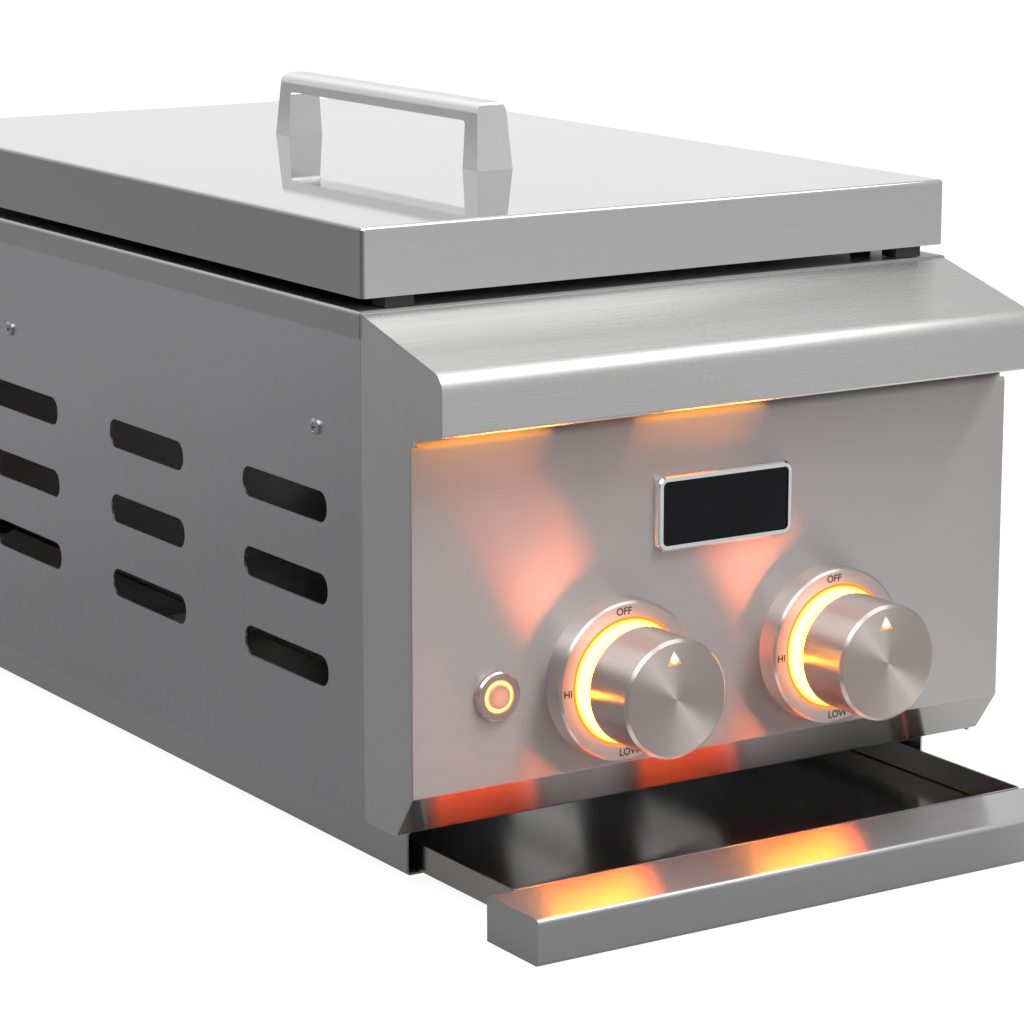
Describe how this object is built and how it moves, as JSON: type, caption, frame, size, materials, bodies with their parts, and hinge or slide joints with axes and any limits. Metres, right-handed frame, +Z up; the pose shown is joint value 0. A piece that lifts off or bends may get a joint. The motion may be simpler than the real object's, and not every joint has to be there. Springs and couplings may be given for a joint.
{
  "type": "side burner",
  "caption": "Built-in gas side burner: a vented steel case with lit control knobs, a lift-off lid over cast grates and burners, and a sliding drip tray.",
  "frame": {"origin": "centre of the base pan's underside", "axes": "+X to the cook's right, +Y to the rear, +Z up"},
  "size_m": [0.3344, 0.6761, 0.3366],
  "materials": {
    "side_steel": "brushed along its length",
    "front_steel": "brushed from side to side",
    "lid_steel": "fine brushed, nearly a mirror at a low angle",
    "tray_steel": "brushed from side to side",
    "inner_steel": "plain mill finish",
    "cast_chrome": "satin chrome on a casting",
    "knob_steel": "spun face, brushed barrel",
    "trim_chrome": "bright",
    "light_diffuser": "lit from behind, white to orange",
    "badge_black": "glossy, bare",
    "valve_brass": "machined",
    "grate_iron": "matt black enamel",
    "cast_aluminium": "as cast",
    "pipe_steel": "dull zinc",
    "ceramic": "white glaze",
    "black_plastic": "fine grain",
    "bumper_rubber": "matt",
    "fastener_steel": "bright zinc and stainless"
  },
  "bodies": {
    "case": {"left_side_panel": "side_steel", "right_side_panel": "side_steel", "rear_panel": "side_steel", "left_end_plate": "side_steel", "right_end_plate": "side_steel", "control_panel": "front_steel", "front_hood": "front_steel", "top_deck": "lid_steel", "base_pan": "inner_steel", "firewall": "inner_steel", "burner_pan": "inner_steel", "tray_guides": "inner_steel", "left_knob_bezel": "knob_steel", "right_knob_bezel": "knob_steel", "badge_rim": "trim_chrome", "button_bezel": "trim_chrome", "left_light_ring": "light_diffuser", "right_light_ring": "light_diffuser", "button_light": "light_diffuser", "badge_plate": "badge_black", "left_valve_body": "valve_brass", "right_valve_body": "valve_brass", "front_burner_cap": "valve_brass", "rear_burner_cap": "valve_brass", "gas_inlet": "valve_brass", "front_grate": "grate_iron", "rear_grate": "grate_iron", "front_burner_base": "cast_aluminium", "rear_burner_base": "cast_aluminium", "front_feed_tube": "cast_aluminium", "rear_feed_tube": "cast_aluminium", "gas_manifold": "pipe_steel", "supply_pipe": "pipe_steel", "igniter_insulators": "ceramic", "light_module": "black_plastic", "power_socket": "black_plastic", "wiring_loom": "black_plastic", "case_screws": "fastener_steel", "button_nut": "fastener_steel", "igniter_tips": "fastener_steel"},
    "lid": {"lid_shell": "lid_steel", "lid_handle": "cast_chrome", "handle_screws": "fastener_steel", "lid_bumpers": "bumper_rubber"},
    "drip_tray": {"tray_pan": "tray_steel", "tray_front": "tray_steel", "tray_rivets": "fastener_steel"},
    "left_valve_turn_body": {"left_valve_plug": "valve_brass", "left_stem_spring": "fastener_steel"},
    "left_knob_body": {"left_knob": "knob_steel", "left_knob_hub": "black_plastic", "left_knob_pointer": "light_diffuser", "left_valve_stem": "fastener_steel"},
    "right_valve_turn_body": {"right_valve_plug": "valve_brass", "right_stem_spring": "fastener_steel"},
    "right_knob_body": {"right_knob": "knob_steel", "right_knob_hub": "black_plastic", "right_knob_pointer": "light_diffuser", "right_valve_stem": "fastener_steel"},
    "light_button": {"button_cap": "trim_chrome"}
  },
  "joints": [
    {"name": "lid_lift", "type": "slide", "parent": "case", "child": "lid", "axis": [0, 0, 1], "range_m": [0, 0.2]},
    {"name": "tray_slide", "type": "slide", "parent": "case", "child": "drip_tray", "axis": [0, -1, 0], "range_m": [-0.08, 0.36]},
    {"name": "left_valve_turn", "type": "hinge", "parent": "case", "child": "left_valve_turn_body", "pos_m": [-0.0596, -0.2803, 0.0889], "axis": [0, -1, 0], "range_deg": [0, 190]},
    {"name": "left_knob_push", "type": "slide", "parent": "left_valve_turn_body", "child": "left_knob_body", "axis": [0, 1, 0], "range_m": [0, 0.004], "stiffness_N_per_m": 1500, "springref_m": -0.003, "deforming": ["left_stem_spring"]},
    {"name": "right_valve_turn", "type": "hinge", "parent": "case", "child": "right_valve_turn_body", "pos_m": [0.0596, -0.2803, 0.0889], "axis": [0, -1, 0], "range_deg": [0, 190]},
    {"name": "right_knob_push", "type": "slide", "parent": "right_valve_turn_body", "child": "right_knob_body", "axis": [0, 1, 0], "range_m": [0, 0.004], "stiffness_N_per_m": 1500, "springref_m": -0.003, "deforming": ["right_stem_spring"]},
    {"name": "light_button_press", "type": "slide", "parent": "case", "child": "light_button", "axis": [0, 1, 0], "range_m": [0, 0.0025], "stiffness_N_per_m": 1200, "springref_m": -0.002}
  ]
}
